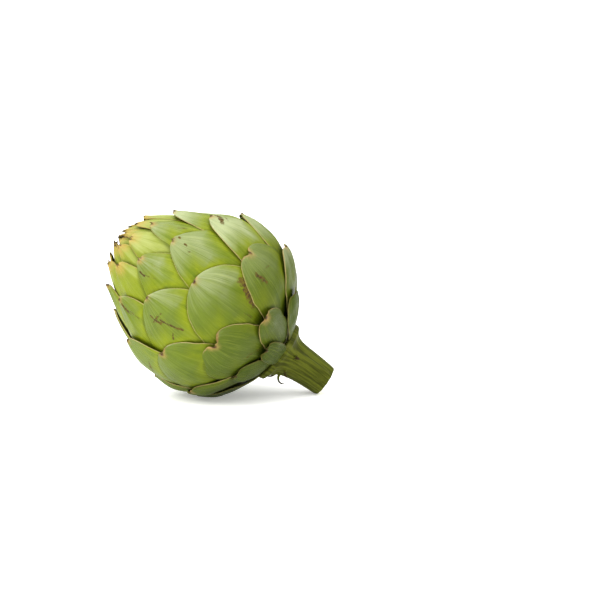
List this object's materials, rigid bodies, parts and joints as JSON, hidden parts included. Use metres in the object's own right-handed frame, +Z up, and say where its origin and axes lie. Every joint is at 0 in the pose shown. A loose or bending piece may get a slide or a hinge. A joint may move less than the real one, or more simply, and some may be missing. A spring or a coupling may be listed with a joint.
{
  "type": "artichoke",
  "caption": "Globe artichoke, as picked: a round green head of overlapping blunt bracts, lying on its side on a short cut stem.",
  "frame": {"origin": "on the surface it lies on, under the centre of the whole object's box", "axes": "+Z up; +X towards the stem end, which lies low; -X towards the crown, which is raised; +Y is the back"},
  "size_m": [0.1146, 0.0934, 0.0944],
  "materials": {
    "outer_bract": "matt waxy green skin with a pale bloom, fine lengthwise veins and a thin tan margin",
    "crown_bract": "matt waxy yellow-green skin with brown tips",
    "basal_bract": "matt dark olive skin",
    "stem": "matt ribbed olive skin, pale dry cut end",
    "heart": "moist pale cream flesh",
    "choke": "fine cream hairs",
    "inner_bud": "packed thin pale yellow bracts"
  },
  "bodies": {
    "root": {"stem": "stem", "heart": "heart", "choke": "choke", "inner_bud": "inner_bud", "bract_01": "basal_bract", "bract_02": "basal_bract", "bract_03": "basal_bract", "bract_04": "basal_bract", "bract_05": "basal_bract", "bract_06": "basal_bract", "bract_07": "basal_bract", "bract_08": "outer_bract", "bract_09": "outer_bract", "bract_10": "outer_bract", "bract_11": "outer_bract", "bract_12": "outer_bract", "bract_13": "outer_bract", "bract_14": "outer_bract", "bract_15": "outer_bract", "bract_16": "outer_bract", "bract_17": "outer_bract", "bract_18": "outer_bract", "bract_19": "outer_bract", "bract_20": "outer_bract", "bract_21": "outer_bract", "bract_22": "outer_bract", "bract_23": "outer_bract", "bract_24": "outer_bract", "bract_25": "outer_bract", "bract_26": "outer_bract", "bract_27": "outer_bract", "bract_28": "outer_bract", "bract_29": "outer_bract", "bract_30": "outer_bract", "bract_31": "outer_bract", "bract_32": "outer_bract", "bract_33": "outer_bract", "bract_34": "outer_bract", "bract_35": "outer_bract", "bract_36": "outer_bract", "bract_37": "outer_bract", "bract_38": "outer_bract", "bract_39": "crown_bract", "bract_40": "crown_bract", "bract_41": "crown_bract", "bract_42": "crown_bract", "bract_43": "crown_bract", "bract_44": "crown_bract", "bract_45": "crown_bract", "bract_46": "crown_bract", "bract_47": "crown_bract", "bract_48": "crown_bract", "bract_49": "crown_bract", "bract_50": "crown_bract", "bract_51": "crown_bract", "bract_52": "crown_bract", "bract_53": "crown_bract", "bract_54": "crown_bract", "bract_55": "crown_bract", "bract_56": "crown_bract"}
  },
  "joints": []
}
